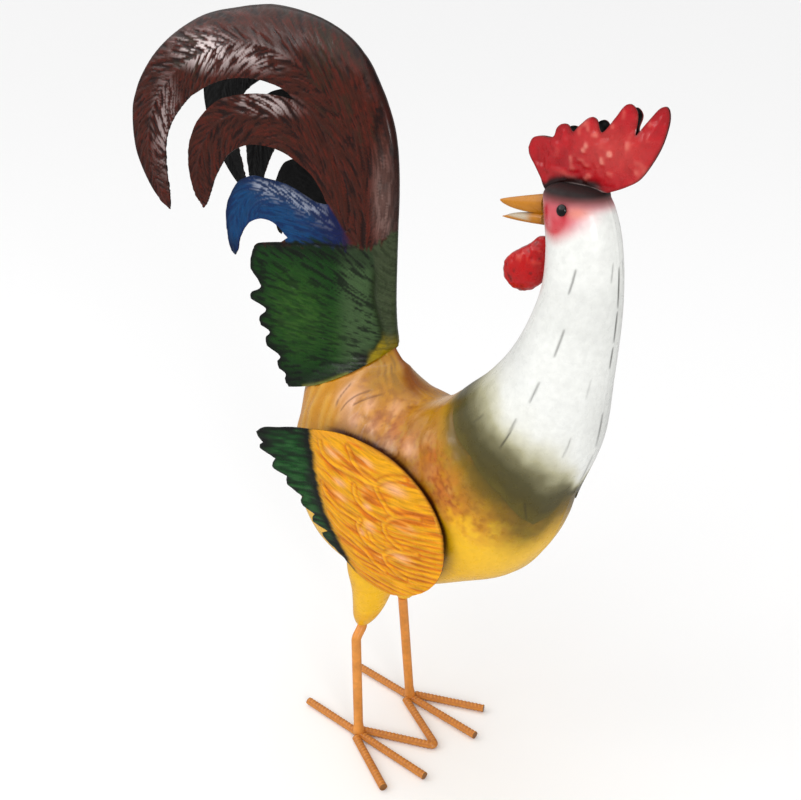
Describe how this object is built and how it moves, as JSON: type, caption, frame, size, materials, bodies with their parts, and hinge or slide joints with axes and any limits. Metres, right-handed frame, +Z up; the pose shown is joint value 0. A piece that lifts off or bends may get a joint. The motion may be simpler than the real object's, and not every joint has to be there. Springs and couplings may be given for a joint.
{
  "type": "metal rooster figure",
  "caption": "Painted sheet-metal rooster ornament on wire feet, its head turned back over an arched two-sheet tail, with domed wings set off the body.",
  "frame": {"origin": "on the ground under the middle of the figure's bounding box, midway between the feet from side to side", "axes": "+X towards the chest, +Y to the bird's left, +Z up"},
  "size_m": [0.3958, 0.116, 0.5028],
  "materials": {
    "body_paint": "glossy yellow enamel with orange mottling",
    "hackle_paint": "glossy white enamel, airbrushed olive at the edge",
    "tail_paint": "glossy maroon enamel with a blue feather and a green flap",
    "wing_paint": "glossy orange enamel with a green back edge",
    "comb_paint": "glossy red enamel, hammered",
    "beak_paint": "satin ochre enamel",
    "rod_paint": "satin copper-orange enamel",
    "eye_paint": "glossy black enamel"
  },
  "bodies": {
    "root": {"body": "body_paint", "hackle": "hackle_paint", "tail_right": "tail_paint", "tail_left": "tail_paint", "wing_right": "wing_paint", "wing_left": "wing_paint", "comb_right": "comb_paint", "comb_left": "comb_paint", "wattle": "comb_paint", "beak_upper": "beak_paint", "beak_lower": "beak_paint", "eye_right": "eye_paint", "eye_left": "eye_paint", "leg_right": "rod_paint", "leg_left": "rod_paint", "toe_rod_right": "rod_paint", "toe_rod_left": "rod_paint", "outer_toe_right": "rod_paint", "outer_toe_left": "rod_paint", "inner_toe_loop": "rod_paint"}
  },
  "joints": []
}
